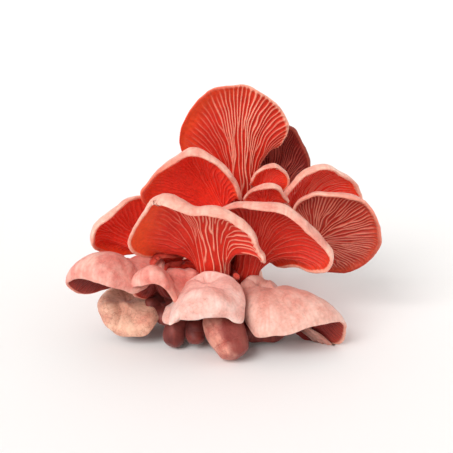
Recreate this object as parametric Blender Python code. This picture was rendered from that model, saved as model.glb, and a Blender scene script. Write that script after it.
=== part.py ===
"""Cluster of pink oyster mushrooms, picked in one piece and standing on its cut base.

Each mushroom is one body: a cap that opens out of its stem, with a gill side below, a smooth top and a
rolled margin. The stems meet in one lump with a flat cut face. Metres, +Z up, the front towards -Y.
"""

import math
from dataclasses import dataclass

import bmesh
import bpy
import numpy as np

MM = 0.001
MIDDLE = np.array([-0.05, 2.06, 0])  # mm, the middle of the cluster's outline, which goes to the origin

# The lump of grown-together stem feet, cut flat below.
BASE_CENTRE = (-8, 14)  # mm, in plan
BASE_RADIUS = (25, 27)  # mm, half width and half depth
BASE_HEIGHT = 40  # mm
BASE_SQUARENESS = 0.7  # 1 is a half ball, less is squarer
BASE_LUMPS = ((3, 0.05, 0.4), (5, 0.035, 1.9))  # count round the base, share of its radius, phase
BASE_SEGMENTS, BASE_ROWS = 24, 7
GROWN_GAP = 0.35  # mm between a stem's foot and the base
PRESSED_GAP = 0.9  # mm between two mushrooms that press together

# Skin colours, linear.
GILL_RED = (0.66, 0.10, 0.06)
PALE_TOP = (0.85, 0.54, 0.45)
DEEP_RED = (0.20, 0.03, 0.02)
BASE_PINK = (0.80, 0.55, 0.46)
ROUGHNESS = 0.6

# The shape of every cap and stem.
RIM_STEPS = 24  # steps between two points of a rim
HEM_SHARE = 0.75  # how much of the rolled margin adds to the cap's width
HEM_MOST = 0.45  # the widest rolled margin, as a share of the cap
EDGE_POWER = 1.5  # how fast the flesh thins towards the margin
EDGE_START = 0.25  # share of the cap where the margin's own thickness is reached
STEM_PULLS = (0.4, 0.3)  # how far a stem keeps its direction from the hub and from the foot
NUDGE = 1e-3  # a small step, for slopes
FOOT_POINT = 0.5  # how far a foot's end is pointed, as a share of its radius
TIP_SHARE = 0.16  # share of a finger's length that its round tip takes

# The number of facets.
GRAIN = 6.6  # mm, the length of one facet along a cap
GRAIN_ROUND = 0.3  # a cap's facets round the stem, as a share of that length
MOST_SEGMENTS, FEWEST_SEGMENTS = 22, 10
MOST_ROWS, FEWEST_ROWS, STEM_ROWS = 7, 3, 3
FINGER_SEGMENTS, FINGER_ROWS = 10, 5
TIP_ROWS = (0, 0.02, 0.08)  # shares of a finger's length where its tip has a ring


@dataclass
class Mushroom:
    """Lengths in mm, angles in degrees. Four values go round the stem: front, right, back, left."""

    name: str
    foot: tuple  # where the stem leaves the base
    hub: tuple  # where the stem opens into the cap
    rim: tuple  # points that the cap's margin passes through, counter-clockwise about the stem
    rise: tuple = (0, 0, 1)  # the way the stem points at the hub
    toward: tuple = (0, -1, 0)  # the way the cap's front faces
    stem: tuple = (4, 4)  # radius at the foot and at the hub
    neck: tuple = (0.33, 0.33)  # how long the sheet keeps the stem's direction, and the margin's
    crown: float = 0.2  # how much of the cap's middle is filled level
    dome: float = 0  # how far the middle of the top bulges
    spill: tuple = (60, 75, 60, 75)  # angle between sheet and stem where the margin starts to roll
    hem: float = 6  # width of the rolled margin
    roll: float = 50  # how far the margin is rolled towards the gills
    edge: float = 1.5  # thickness of the margin
    flesh: float = 1.0  # thickness of the cap, as a share of the usual
    waves: tuple = (7, 0.5, 0.0)  # number of waves round the margin, their height and their phase
    colour: tuple = GILL_RED


@dataclass
class Finger:
    """A young club without an open cap. Lengths in mm."""

    name: str
    path: tuple  # from the tip to the foot
    radii: tuple  # at each point of the path
    flat: float = 1.0  # its height over its width
    colour: tuple = GILL_RED


CLUSTER = (
    Mushroom(
        "tall_top_mushroom",
        foot=(-3, 14, 36), hub=(6, 9, 57), rise=(-0.04, -0.05, 1),
        rim=((2, -8, 117), (14, -7, 114), (23, -2, 104), (26, 2, 96), (22, 8, 87), (14, 18, 82),
             (7, 24, 80), (-3, 22, 81), (-18, 8, 81), (-21, 0, 92), (-17, -5, 105), (-9, -8, 114)),
        stem=(6, 5.5), spill=(30, 60, 80, 60), hem=2.5, roll=35,
    ),
    Mushroom(
        "shaded_back_mushroom",
        foot=(7, 24, 32), hub=(20, 22, 52), rise=(0.2, 0.0, 1), toward=(0.3, -1, 0),
        rim=((21, 14, 96), (29, 14, 94), (33, 14, 88), (37, 16, 78), (37, 20, 66), (32, 28, 56),
             (22, 34, 59), (12, 30, 74)),
        stem=(5, 4.5), spill=(25, 60, 80, 65), hem=4, roll=20, colour=DEEP_RED,
    ),
    Mushroom(
        "upper_small_mushroom",
        foot=(7, 2, 38), hub=(14, -4, 63), rise=(0.3, -0.1, 1),
        rim=((12, -7, 72), (13, -10, 77), (16, -12, 81), (19, -12, 82), (23, -11, 81), (26, -9, 77),
             (26, -6, 72), (22, 0, 67), (16, 5, 67)),
        stem=(3, 2.5), spill=(60, 75, 70, 70), hem=2.2, roll=45, edge=1, waves=(5, 0.2, 0),
    ),
    Mushroom(
        "lower_small_mushroom",
        foot=(9, -2, 36), hub=(16, -8, 60), rise=(0.15, -0.1, 1),
        rim=((8, -13, 65), (9, -16, 69), (12, -18, 72), (16, -19, 74), (21, -18, 73), (24, -15, 69),
             (26, -10, 64), (19, -4, 62)),
        stem=(3, 2.5), spill=(60, 75, 70, 75), hem=2.4, roll=45, edge=1, waves=(5, 0.2, 0),
    ),
    Mushroom(
        "right_upper_mushroom",
        foot=(9, 10, 36), hub=(28, 8, 48), rise=(0.4, 0.0, 0.9),
        rim=((26, -4, 60), (29, -8, 69), (34, -10, 76), (41, -10, 80), (48, -8, 79), (55, -4, 75),
             (60, 2, 67), (63, 8, 59), (55, 18, 52), (38, 18, 53)),
        stem=(5, 4), spill=(58, 70, 80, 70), hem=3.2, roll=45,
    ),
    Mushroom(
        "right_big_mushroom",
        foot=(12, 5, 33), hub=(40, -6, 42), rise=(0.3, 0.8, 0.5), toward=(1, -0.3, 0),
        rim=((31, -9, 60), (37, -15, 68), (44, -18, 70), (53, -20, 70), (62, -20, 66), (68, -18, 57),
             (70, -14, 46), (66, -8, 35), (58, -3, 28), (49, 1, 26), (40, 2, 29), (34, 0, 38)),
        stem=(5, 3.5), spill=(88, 88, 95, 95), neck=(0.12, 0.3), hem=3.5, roll=54,
    ),
    Mushroom(
        "upper_left_mushroom",
        foot=(-7, 6, 36), hub=(-3, -4, 57), rise=(-0.5, 0.05, 0.85),
        rim=((3, -12, 68), (1, -16, 75), (-3, -19, 83), (-9, -21, 88), (-16, -22, 91), (-22, -22, 90),
             (-28, -22, 86), (-35, -22, 78), (-39, -20, 71), (-35, -12, 63), (-27, -2, 57), (-14, 6, 62),
             (-2, 4, 65)),
        stem=(5, 4.5), spill=(68, 90, 80, 50), hem=3.9, roll=54,
    ),
    Mushroom(
        "left_mushroom",
        foot=(-25, 8, 28), hub=(-38, -4, 39), rise=(-0.85, 0, 0.45),
        rim=((-33, -12, 64), (-41, -16, 67), (-48, -18, 66), (-55, -20, 61), (-61, -20, 55),
             (-64, -18, 48), (-61, -12, 44), (-54, -6, 41), (-45, -1, 38), (-51, 7, 40), (-42, 6, 50)),
        stem=(5, 4.5), spill=(65, 80, 75, 70), hem=4, roll=45,
    ),
    Mushroom(
        "front_centre_mushroom",
        foot=(-7, -6, 26), hub=(-7, -20, 33), rise=(-0.1, -0.15, 1),
        rim=((14, -42, 50), (12, -44, 55), (9, -45, 62), (5, -46, 67), (-2, -46, 71), (-9, -47, 72),
             (-16, -47, 73), (-22, -47, 75), (-29, -46, 77), (-34, -45, 73), (-39, -42, 65),
             (-42, -38, 57), (-41, -34, 51), (-36, -28, 47), (-31, -20, 44), (-23, -12, 45), (-11, -4, 46),
             (0, -6, 47), (8, -20, 50)),
        stem=(7, 7.5), spill=(60, 115, 80, 85), neck=(0.42, 0.33), hem=4.7, roll=56,
    ),
    Mushroom(
        "centre_right_mushroom",
        foot=(3, -2, 26), hub=(8, -11, 28), rise=(0.25, -0.1, 0.95),
        rim=((-3, -27, 65), (5, -33, 70), (14, -37, 72), (22, -39, 71), (29, -40, 68), (36, -40, 63),
             (42, -39, 56), (45, -38, 50), (44, -34, 43), (39, -28, 40), (32, -20, 41), (23, -10, 38),
             (16, -1, 37), (7, 0, 38), (1, -10, 51)),
        stem=(6, 6), spill=(62, 110, 80, 72), neck=(0.4, 0.33), hem=4.6, roll=56,
    ),
    Mushroom(
        "tucked_mushroom",
        foot=(-23, 2, 26), hub=(-19, -11, 32), rise=(-0.8, -0.2, 0.3), toward=(0, -1, -0.3),
        rim=((-25, -20, 32), (-29, -24, 34), (-34, -26, 36), (-35, -26, 39), (-33, -24, 41),
             (-28, -19, 39), (-24, -12, 35), (-21, -8, 30)),
        stem=(3.5, 3), spill=(70, 70, 70, 70), hem=3, roll=30,
    ),
    Mushroom(
        "low_left_mushroom",
        foot=(-29, 2, 18), hub=(-42, -25, 32), rise=(-0.3, 0, 0.95), toward=(-0.3, -1, 0),
        rim=((-73, -33, 36), (-67, -40, 41), (-60, -44, 42), (-54, -45, 40), (-49, -43, 37),
             (-42, -39, 32), (-35, -32, 34), (-31, -24, 37), (-34, -16, 38), (-45, -12, 36),
             (-53, -14, 25), (-60, -20, 24), (-67, -24, 25), (-71, -29, 30)),
        stem=(5, 4.5), spill=(140, 125, 100, 115), neck=(0.6, 0.35), crown=0.45, dome=2, hem=3, roll=10,
        colour=PALE_TOP,
    ),
    Mushroom(
        "round_left_mushroom",
        foot=(-27, -2, 9), hub=(-48, -14, 9), rise=(-0.2, -0.7, 0.7), toward=(0, -1, -0.7),
        rim=((-60, -20, 18), (-58, -27, 16), (-55, -30, 11), (-51, -32, 8), (-45, -34, 8), (-39, -34, 9),
             (-35, -32, 13), (-34, -26, 17), (-39, -17, 18), (-48, -12, 19), (-57, -14, 20)),
        stem=(4, 4), spill=(125, 120, 100, 120), neck=(0.5, 0.3), crown=0.7, dome=2.5, hem=2.5, roll=10,
        waves=(9, 0.5, 0), colour=PALE_TOP,
    ),
    Mushroom(
        "mid_left_mushroom",
        foot=(-19, -12, 20), hub=(-29, -28, 30), rise=(-0.2, -0.3, 0.9), toward=(-0.2, -1, 0),
        rim=((-43, -39, 34), (-39, -44, 39), (-34, -47, 41), (-29, -47, 38), (-26, -44, 32),
             (-23, -41, 26), (-17, -34, 29), (-15, -26, 33), (-24, -18, 30), (-33, -22, 23),
             (-37, -28, 23), (-41, -34, 28)),
        stem=(4, 4), spill=(140, 120, 90, 120), neck=(0.5, 0.4), crown=0.45, hem=2.5, roll=10,
        colour=PALE_TOP,
    ),
    Mushroom(
        "dark_low_mushroom",
        foot=(-29, -2, 11), hub=(-30, -20, 15), rise=(-0.1, -0.7, 0.7), toward=(0, -1, -0.7),
        rim=((-36, -24, 20), (-35, -28, 14), (-30, -30, 11), (-26, -28, 13), (-24, -24, 18),
             (-30, -18, 20)),
        stem=(3, 3), spill=(120, 115, 100, 115), neck=(0.5, 0.3), crown=0.6, hem=2, roll=10,
        colour=DEEP_RED,
    ),
    Mushroom(
        "pale_front_mushroom",
        foot=(-16, -6, 22), hub=(-9, -34, 29), rise=(0, -0.5, 0.85),
        rim=((-25, -50, 20), (-21, -52, 24), (-15, -54, 26), (-9, -55, 28), (-2, -54, 26), (5, -51, 21),
             (6, -41, 27), (1, -33, 33), (-9, -31, 36), (-18, -33, 32), (-23, -42, 26)),
        stem=(4, 4.5), spill=(150, 120, 90, 120), neck=(0.5, 0.45), crown=0.6, dome=2.5, hem=2, roll=0,
        waves=(5, 0.2, 0), colour=PALE_TOP,
    ),
    Mushroom(
        "low_right_mushroom",
        foot=(9, 0, 14), hub=(14, -22, 23), rise=(0.1, -0.2, 0.9), toward=(0.3, -1, 0),
        rim=((12, -48, 16), (20, -51, 17), (27, -51, 17), (34, -49, 19), (42, -46, 20), (50, -41, 18),
             (53, -36, 12), (52, -32, 4), (45, -28, -1), (36, -24, -2), (30, -13, 6), (16, -16, 25),
             (7, -24, 28), (7, -38, 21)),
        stem=(5, 5), spill=(145, 95, 90, 130), neck=(0.13, 0.4), crown=0.5, dome=3, hem=2.5, roll=10,
        colour=PALE_TOP,
    ),
    Mushroom(
        "shaded_low_mushroom",
        foot=(1, 2, 8), hub=(14, -20, 8), rise=(0.1, -0.5, 0.8), toward=(0, -1, 0),
        rim=((7, -32, 9), (10, -33, 6), (15, -33, 5), (21, -32, 5), (26, -30, 7), (28, -24, 8),
             (22, -14, 9), (10, -14, 9)),
        stem=(4, 4), spill=(130, 110, 90, 110), neck=(0.4, 0.3), crown=0.5, hem=2, roll=10,
        colour=DEEP_RED,
    ),
    Mushroom(
        "rear_left_mushroom",
        foot=(-13, 26, 26), hub=(-19, 32, 36), rise=(-0.4, 0.3, 0.9), toward=(-0.4, 1, 0),
        rim=((-5, 34, 58), (-13, 42, 60), (-25, 47, 58), (-36, 46, 52), (-42, 38, 46), (-39, 28, 42),
             (-25, 22, 50), (-11, 25, 56)),
        stem=(5, 4.5), spill=(80, 80, 80, 80), hem=5, roll=55,
    ),
    Mushroom(
        "rear_right_mushroom",
        foot=(15, 28, 26), hub=(23, 34, 36), rise=(0.4, 0.3, 0.9), toward=(0.4, 1, 0),
        rim=((7, 42, 52), (17, 50, 55), (30, 52, 54), (42, 47, 49), (47, 38, 44), (43, 29, 42),
             (29, 26, 50), (13, 30, 54)),
        stem=(5, 4.5), spill=(80, 80, 80, 80), hem=5, roll=55,
    ),
    Mushroom(
        "rear_low_mushroom",
        foot=(1, 36, 14), hub=(1, 44, 18), rise=(0, 0.5, 0.85), toward=(0, 1, 0),
        rim=((15, 52, 14), (7, 58, 12), (-5, 59, 12), (-16, 54, 13), (-21, 46, 16), (-13, 38, 22),
             (3, 36, 24), (17, 42, 18)),
        stem=(4.5, 4.5), spill=(140, 110, 90, 110), neck=(0.5, 0.4), crown=0.5, hem=2.5, roll=10,
        colour=PALE_TOP,
    ),
    Finger("front_finger", path=((3, -50, 2), (1, -46, 8), (-3, -38, 15), (0, -8, 9)),
           radii=(5.5, 8.3, 9, 6.5), colour=PALE_TOP),
    Finger("dark_finger", path=((-14, -38, 4), (-15, -35, 8), (-14, -29, 14), (-10, -4, 14)),
           radii=(3, 4, 4.5, 4), colour=DEEP_RED),
    Finger("short_finger", path=((-26, -36, 1), (-25, -33, 7), (-22, -27, 13), (-17, -2, 12)),
           radii=(4.2, 5.5, 5, 4.5), colour=DEEP_RED),
    Finger("flat_finger", path=((-30, -40, 16), (-25, -38, 19), (-18, -32, 23), (-14, -6, 20)),
           radii=(3, 5.5, 6, 4.5), flat=0.6, colour=PALE_TOP),
    Finger("tiny_pin", path=((3, -24, 33), (3, -22, 30), (2, -8, 28)),
           radii=(1.6, 1.6, 1.6)),
)


# Where two mushrooms press together, the first gives way to the others.
PRESSED = {
    "tiny_pin": ("centre_right_mushroom",),
    "tucked_mushroom": ("front_centre_mushroom", "mid_left_mushroom", "low_left_mushroom"),
    "centre_right_mushroom": ("front_centre_mushroom",),
    "lower_small_mushroom": ("centre_right_mushroom", "right_upper_mushroom"),
    "upper_small_mushroom": ("lower_small_mushroom", "tall_top_mushroom", "centre_right_mushroom"),
    "right_big_mushroom": ("centre_right_mushroom", "right_upper_mushroom"),
    "dark_finger": ("front_finger", "short_finger", "pale_front_mushroom"),
    "dark_low_mushroom": ("low_left_mushroom", "round_left_mushroom", "short_finger"),
    "flat_finger": ("front_finger", "pale_front_mushroom", "mid_left_mushroom", "front_centre_mushroom"),
    "pale_front_mushroom": ("front_centre_mushroom", "front_finger"),
    "upper_left_mushroom": ("front_centre_mushroom", "tall_top_mushroom", "centre_right_mushroom"),
    "left_mushroom": ("upper_left_mushroom",),
    "low_right_mushroom": ("centre_right_mushroom",),
    "mid_left_mushroom": ("low_left_mushroom", "pale_front_mushroom", "short_finger"),
    "round_left_mushroom": ("low_left_mushroom",),
    "shaded_low_mushroom": ("low_right_mushroom", "front_finger"),
    "rear_right_mushroom": ("right_upper_mushroom", "shaded_back_mushroom"),
    "right_upper_mushroom": ("shaded_back_mushroom",),
    "shaded_back_mushroom": ("tall_top_mushroom",),
}


def ease(x):
    """0 to 1 with level ends."""
    x = np.clip(x, 0.0, 1.0)
    return x * x * (3 - 2 * x)


def around(values, turn):
    """A smooth loop through the values at the front, right, back and left."""
    front, right, back, left = values
    return (
        sum(values) / 4
        + (front - back) / 2 * np.cos(turn)
        + (right - left) / 2 * np.sin(turn)
        + (front + back - right - left) / 4 * np.cos(2 * turn)
    )


def unit(vector):
    vector = np.asarray(vector, float)
    return vector / np.linalg.norm(vector)


def axes(shroom):
    """The stem's direction at the hub, and the front and right of the cap."""
    rise = unit(shroom.rise)
    front = np.asarray(shroom.toward, float)
    front = unit(front - rise * front.dot(rise))
    return rise, front, np.cross(rise, front)


def margin(shroom, turn):
    """Points on a closed smooth curve through the rim's points, at each angle about the stem's axis."""
    _, front, right = axes(shroom)
    rim = np.asarray(shroom.rim, float)
    share = np.arange(RIM_STEPS)[:, None] / RIM_STEPS
    spans = []
    for k in range(len(rim)):
        before, start, end, after = (rim[(k + step) % len(rim)] for step in (-1, 0, 1, 2))
        spans.append(
            start
            + share / 2 * (end - before)
            + share**2 * (before - 2.5 * start + 2 * end - after / 2)
            + share**3 * (1.5 * (start - end) + (after - before) / 2)
        )
    line = np.concatenate(spans)
    away = line - np.asarray(shroom.hub, float)
    angle = np.arctan2(away @ right, away @ front)
    order = np.argsort(angle)
    angle, line = angle[order], line[order]
    turn = (turn + math.pi) % (2 * math.pi) - math.pi
    read = [np.interp(turn, angle, line[:, axis], period=2 * math.pi) for axis in range(3)]
    return np.stack(read, axis=1)


def underside(shroom, shares, turn):
    """Points of the gill side, one row for each share of the way from the hub to the margin's edge."""
    rise, front, right = axes(shroom)
    out = np.cos(turn)[:, None] * front + np.sin(turn)[:, None] * right
    start = np.asarray(shroom.hub, float) + shroom.stem[1] * out
    edge = margin(shroom, turn)
    length = np.linalg.norm(edge - start, axis=1)
    crest = edge - (edge - start) * (HEM_SHARE * np.minimum(shroom.hem / length, HEM_MOST))[:, None]
    length = np.linalg.norm(crest - start, axis=1)
    spill = np.radians(around(shroom.spill, turn))[:, None]
    over = np.cos(spill) * rise + np.sin(spill) * out
    onward = margin(shroom, turn + NUDGE) - margin(shroom, turn - NUDGE)
    down = np.cross(onward, over)
    down /= np.linalg.norm(down, axis=1)[:, None]
    after_hub = start + rise * (length * shroom.neck[0])[:, None]
    before_crest = crest - over * (length * shroom.neck[1])[:, None]
    hem = np.minimum(shroom.hem, length * HEM_MOST)
    fold = length / (length + hem)
    count, height, phase = shroom.waves
    rows = []
    for share in shares:
        part = np.minimum(share / fold, 1)[:, None]
        rest = 1 - part
        row = rest**3 * start + 3 * rest**2 * part * after_hub
        row = row + 3 * rest * part**2 * before_crest + part**3 * crest
        past = np.clip((share - fold) / (1 - fold), 0, 1)[:, None]
        bend = np.maximum(math.radians(shroom.roll) * past, 1e-6)
        row = row + (np.sin(bend) * over + (1 - np.cos(bend)) * down) / bend * past * hem[:, None]
        wave = height * np.sin(count * turn + phase) * share**2
        rows.append(row + wave[:, None] * rise)
    return np.array(rows)


def cap_sheet(shroom, shares, turn):
    """The gill side's points, and normals that point through the flesh to the top side."""
    shares = np.asarray(shares, float)
    sheet = underside(shroom, shares, turn)
    outward = underside(shroom, np.minimum(shares + NUDGE, 1), turn)
    outward = outward - underside(shroom, np.maximum(shares - NUDGE, 0), turn)
    onward = underside(shroom, shares, turn + NUDGE) - underside(shroom, shares, turn - NUDGE)
    normal = np.cross(outward, onward)
    return sheet, normal / np.linalg.norm(normal, axis=-1)[..., None]


def thickness(shroom, shares):
    """Flesh between underside and top: the stem's radius at the hub, thin at the margin."""
    inner = shroom.stem[1] * (1 - shares) ** (EDGE_POWER / shroom.flesh)
    return inner + shroom.edge * np.minimum(1, shares / EDGE_START)


def ring(turn, ahead, aside):
    return np.cos(turn)[:, None] * ahead + np.sin(turn)[:, None] * aside


def stem_rings(shroom, shares, turn):
    """Rings from the hub down to the foot, on a curve that leaves the hub along the stem's axis."""
    rise, front, right = axes(shroom)
    hub, foot = np.asarray(shroom.hub, float), np.asarray(shroom.foot, float)
    length = np.linalg.norm(hub - foot)
    below_hub = hub - rise * length * STEM_PULLS[0]
    above_foot = foot + unit(hub - foot) * length * STEM_PULLS[1]
    knots = (hub, below_hub, above_foot, foot)
    rings = []
    for share in shares:
        rest = 1 - share
        weights = (rest**3, 3 * rest**2 * share, 3 * rest * share**2, share**3)
        centre = sum(w * k for w, k in zip(weights, knots))
        slopes = (rest**2, 2 * rest * share, share**2)
        along = -unit(sum(w * (b - a) for w, a, b in zip(slopes, knots, knots[1:])))
        ahead = unit(front - along * front.dot(along))
        aside = np.cross(along, ahead)
        radius = shroom.stem[1] + (shroom.stem[0] - shroom.stem[1]) * ease(share)
        rings.append(centre + radius * ring(turn, ahead, aside))
    return np.array(rings), foot - along * shroom.stem[0] * FOOT_POINT


def top_side(shroom, shares, turn):
    """Rows of the smooth side. The hollow over the stem is filled level, as far out as the crown goes."""
    level = np.array([shroom.crown])
    sheet, normal = cap_sheet(shroom, level, turn)
    brow = (sheet + normal * thickness(shroom, level)[:, None, None])[0]
    middle, bulge = brow.mean(axis=0), unit(shroom.rise) * shroom.dome
    sheet, normal = cap_sheet(shroom, shares, turn)
    top = sheet + normal * thickness(shroom, shares)[:, None, None]
    part = np.minimum(shares / shroom.crown, 1)[:, None, None]
    disc = middle + (brow - middle) * part + (1 - part**2) * bulge
    return np.where(part < 1, disc + (top - disc) * ease(part), top), middle + bulge


def cap_grid(shroom, segments, cap_rows, stem_rows):
    """Rows of points from the middle of the cap's top, over the margin and down the stem to the foot."""
    turn = np.arange(segments) * 2 * math.pi / segments
    shares = np.arange(1, cap_rows + 1) / cap_rows
    top, middle = top_side(shroom, shares, turn)
    shares = 1 - np.arange(cap_rows + 1) / cap_rows
    under, _ = cap_sheet(shroom, shares, turn)
    rolled = top[-1] - top[-2]
    rolled = rolled / np.linalg.norm(rolled, axis=1)[:, None]
    lip = (top[-1] + under[0]) / 2 + rolled * shroom.edge / 2
    stem, tip = stem_rings(shroom, np.arange(1, stem_rows + 1) / stem_rows, turn)
    rows = [np.repeat(middle[None], segments, axis=0), *top, lip, *under, *stem]
    return np.array(rows + [np.repeat(tip[None], segments, axis=0)])


def finger_grid(finger, segments, rows):
    """Rows of points round a club, from its blunt tip to its foot."""
    turn = np.arange(segments) * 2 * math.pi / segments
    path = np.asarray(finger.path, float)
    knots = np.linspace(0, 1, len(path))
    radii = np.asarray(finger.radii, float)

    def place(share):
        return np.array([smooth_line(knots, path[:, axis], share) for axis in range(3)])

    grid = []
    for share in (*TIP_ROWS, *np.linspace(TIP_SHARE, 1, rows)):
        along = unit(place(min(share + 0.02, 1)) - place(max(share - 0.02, 0)))
        up = unit(np.array([0, 0, 1]) - along * along[2])
        roundness = math.sqrt(1 - (1 - min(share / TIP_SHARE, 1)) ** 2)
        radius = smooth_line(knots, radii, share) * roundness
        grid.append(place(share) + radius * ring(turn, up * finger.flat, np.cross(up, along)))
    end = place(1) + along * radius * FOOT_POINT
    return np.array(grid + [np.repeat(end[None], segments, axis=0)])


def smooth_line(knots, values, at):
    """A natural-looking curve through the values, read at one place."""
    slopes = np.gradient(values, knots)
    k = int(np.clip(np.searchsorted(knots, at) - 1, 0, len(knots) - 2))
    span = knots[k + 1] - knots[k]
    x = (at - knots[k]) / span
    return (
        (2 * x**3 - 3 * x**2 + 1) * values[k]
        + (x**3 - 2 * x**2 + x) * span * slopes[k]
        + (3 * x**2 - 2 * x**3) * values[k + 1]
        + (x**3 - x**2) * span * slopes[k + 1]
    )


def base_grid(grow=0.0, below=0.0):
    """Rows of points from the top of the base down to its cut face and in to the face's middle."""
    turn = np.arange(BASE_SEGMENTS) * 2 * math.pi / BASE_SEGMENTS
    lumps = sum(share * np.sin(count * turn + phase) for count, share, phase in BASE_LUMPS)
    rows = []
    for step in range(BASE_ROWS + 1):
        slope = step / BASE_ROWS * math.pi / 2
        wide = math.sin(slope) ** BASE_SQUARENESS
        round_about = (1 + lumps * math.sin(slope) ** 2)[:, None] * wide
        radius = np.asarray(BASE_RADIUS) + grow
        plan = np.stack([np.cos(turn), np.sin(turn)], axis=1) * radius * round_about + BASE_CENTRE
        height = (BASE_HEIGHT + grow) * math.cos(slope) ** BASE_SQUARENESS
        if step == BASE_ROWS:
            height = -below
        rows.append(np.column_stack([plan, np.full(len(turn), height)]))
    rows.append(np.tile([*BASE_CENTRE, -below], (BASE_SEGMENTS, 1)))
    return np.array(rows)


def wrapped_ball(name, grid):
    """A UV sphere with its points moved to the grid's, row by row from the top pole."""
    rows, segments = len(grid), grid.shape[1]
    work = bmesh.new()
    bmesh.ops.create_uvsphere(work, u_segments=segments, v_segments=rows - 1, radius=1)
    for vertex in work.verts:
        row = round(math.acos(max(-1, min(1, vertex.co.z))) / math.pi * (rows - 1))
        turn = round(math.atan2(vertex.co.y, vertex.co.x) / (2 * math.pi) * segments) % segments
        vertex.co = (grid[row, turn] - MIDDLE) * MM
    bmesh.ops.triangulate(work, faces=work.faces, quad_method="FIXED")
    mesh = bpy.data.meshes.new(name)
    work.to_mesh(mesh)
    work.free()
    mesh.shade_smooth()
    return mesh


def grid_of(shroom):
    """The grid at the number of facets that suits the body's size."""
    if isinstance(shroom, Finger):
        return finger_grid(shroom, FINGER_SEGMENTS, FINGER_ROWS)
    away = np.asarray(shroom.rim, float) - np.asarray(shroom.hub, float)
    widest = np.linalg.norm(away, axis=1).max()
    segments = int(np.clip(round(widest / GRAIN / GRAIN_ROUND), FEWEST_SEGMENTS, MOST_SEGMENTS))
    cap_rows = int(np.clip(round(widest / GRAIN), FEWEST_ROWS, MOST_ROWS))
    return cap_grid(shroom, segments, cap_rows, STEM_ROWS)


def finish(name, colour):
    material = bpy.data.materials.new(name + "_skin")
    material.use_nodes = True
    shader = material.node_tree.nodes["Principled BSDF"]
    shader.inputs["Base Color"].default_value = (*colour, 1)
    shader.inputs["Roughness"].default_value = ROUGHNESS
    shader.inputs["Metallic"].default_value = 0.0
    return material


def add_body(name, grid, colour, collection):
    mesh = wrapped_ball(name, grid)
    mesh.materials.append(finish(name, colour))
    body = bpy.data.objects.new(name, mesh)
    collection.objects.link(body)
    return body


def grown(grid, gap):
    """The same rows of points, moved out of the body by the gap."""
    onward = np.roll(grid, -1, axis=1) - np.roll(grid, 1, axis=1)
    down = np.gradient(grid, axis=0)
    out = np.cross(down, onward)
    out[0], out[-1] = out[1].mean(axis=0), out[-2].mean(axis=0)
    size = np.linalg.norm(out, axis=-1)[..., None]
    return grid + out / np.maximum(size, 1e-9) * gap


def add_cutter(name, grid, cutters):
    cutter = add_body(name, grid, BASE_PINK, cutters)
    cutter.hide_render = True
    cutter.display_type = "WIRE"
    return cutter


def cut_away(body, cutter):
    """Trims a body where its neighbour presses against it, with a gap between them."""
    trim = body.modifiers.new("trim_by_" + cutter.name, "BOOLEAN")
    trim.operation = "DIFFERENCE"
    trim.solver = "MANIFOLD"
    trim.object = cutter


def keep_one_piece(body):
    """Applies the trims, and drops the crumbs that they leave beside the largest piece."""
    work = bmesh.new()
    work.from_object(body, bpy.context.evaluated_depsgraph_get())
    left, pieces = set(work.verts), []
    while left:
        piece, reached = set(), [left.pop()]
        while reached:
            vertex = reached.pop()
            piece.add(vertex)
            found = {edge.other_vert(vertex) for edge in vertex.link_edges} & left
            left -= found
            reached.extend(found)
        pieces.append(piece)
    pieces.sort(key=len)
    crumbs = [vertex for piece in pieces[:-1] for vertex in piece]
    bmesh.ops.delete(work, geom=crumbs, context="VERTS")
    body.modifiers.clear()
    work.to_mesh(body.data)
    work.free()


def add_collection(name):
    collection = bpy.data.collections.new(name)
    bpy.context.scene.collection.children.link(collection)
    return collection


def main():
    for old in list(bpy.data.objects):
        bpy.data.objects.remove(old)
    collection = add_collection("oyster_mushroom_cluster")
    cutters = add_collection("cutters")
    add_body("cut_base", base_grid(), BASE_PINK, collection)
    base_space = add_cutter("base_space", base_grid(GROWN_GAP, GROWN_GAP * 4), cutters)
    spaces = {}
    for shroom in CLUSTER:
        body = add_body(shroom.name, grid_of(shroom), shroom.colour, collection)
        cut_away(body, base_space)
        for neighbour in PRESSED.get(shroom.name, ()):
            if neighbour not in spaces:
                pressing = next(other for other in CLUSTER if other.name == neighbour)
                grid = grown(grid_of(pressing), PRESSED_GAP)
                spaces[neighbour] = add_cutter(neighbour + "_space", grid, cutters)
            cut_away(body, spaces[neighbour])
    for body in collection.objects:
        keep_one_piece(body)


main()
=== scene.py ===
"""Looks of a cluster of pink oyster mushrooms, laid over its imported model.

Each mushroom is one skin: a smooth pale top, a rolled margin, a gill side with ridges that fork and fade,
and a stem that the longest gills run down. Shapes are in mm and go to metres when a mesh is made.
"""

import math
from dataclasses import dataclass

import bpy
import numpy as np
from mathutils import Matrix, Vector


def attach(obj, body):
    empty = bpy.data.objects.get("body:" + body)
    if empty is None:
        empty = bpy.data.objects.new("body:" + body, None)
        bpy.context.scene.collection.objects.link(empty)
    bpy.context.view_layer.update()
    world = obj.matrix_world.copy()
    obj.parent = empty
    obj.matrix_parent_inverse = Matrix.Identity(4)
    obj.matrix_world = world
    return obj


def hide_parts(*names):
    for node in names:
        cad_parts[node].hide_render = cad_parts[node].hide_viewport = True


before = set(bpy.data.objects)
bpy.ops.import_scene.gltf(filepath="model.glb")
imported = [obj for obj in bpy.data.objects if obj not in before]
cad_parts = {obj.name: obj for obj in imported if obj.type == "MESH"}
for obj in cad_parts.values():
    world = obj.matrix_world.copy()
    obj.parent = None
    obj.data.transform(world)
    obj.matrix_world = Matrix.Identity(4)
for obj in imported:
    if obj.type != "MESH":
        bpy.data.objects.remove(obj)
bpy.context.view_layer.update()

MM = 0.001
MIDDLE = np.array([-0.05, 2.06, 0])  # mm, the middle of the cluster's outline, which goes to the origin

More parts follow.
